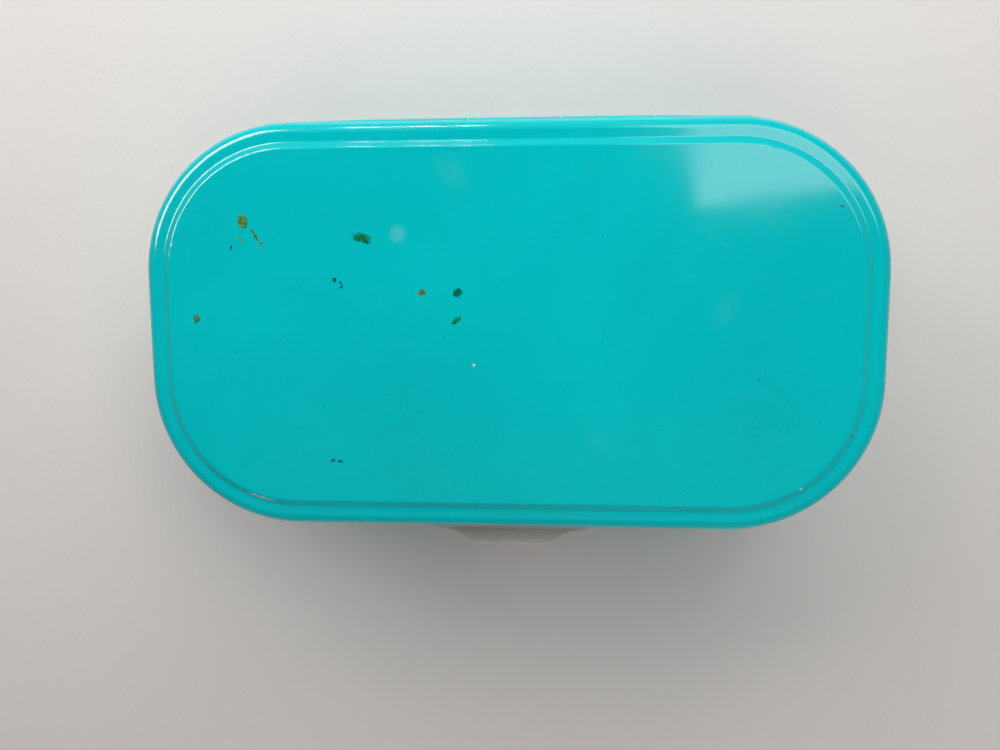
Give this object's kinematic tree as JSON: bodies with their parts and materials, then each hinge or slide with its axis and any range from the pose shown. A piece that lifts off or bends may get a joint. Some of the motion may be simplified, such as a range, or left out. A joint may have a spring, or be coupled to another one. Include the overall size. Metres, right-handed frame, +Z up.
{
  "type": "bento lunch box",
  "caption": "Oval-cornered plastic lunch box with a hinged lid, a front pull latch, and a half-length food tray with a divider and a fork.",
  "frame": {"origin": "centre of the base's underside, on the surface the box stands on", "axes": "+X along the length, +Y to the hinge at the back, +Z up through the lid"},
  "size_m": [0.177, 0.1066, 0.062],
  "materials": {
    "shell_plastic": "glossy moulded ABS, turquoise",
    "latch_plastic": "satin moulded plastic, warm grey",
    "tray_plastic": "satin moulded plastic, off-white",
    "pin_steel": "drawn steel wire"
  },
  "bodies": {
    "base": {"base_tub": "shell_plastic", "hinge_pin": "pin_steel", "latch_pin": "pin_steel", "bento_tray": "tray_plastic", "tray_divider": "tray_plastic", "food_fork": "latch_plastic"},
    "lid": {"lid_shell": "shell_plastic"},
    "latch": {"latch_clip": "latch_plastic"}
  },
  "joints": [
    {"name": "lid_hinge", "type": "hinge", "parent": "base", "child": "lid", "pos_m": [0, 0.0503, 0.036], "axis": [-1, 0, 0], "range_deg": [0, 180]},
    {"name": "latch_hinge", "type": "hinge", "parent": "base", "child": "latch", "pos_m": [0, -0.0515, 0.014], "axis": [1, 0, 0], "range_deg": [0, 100]}
  ]
}
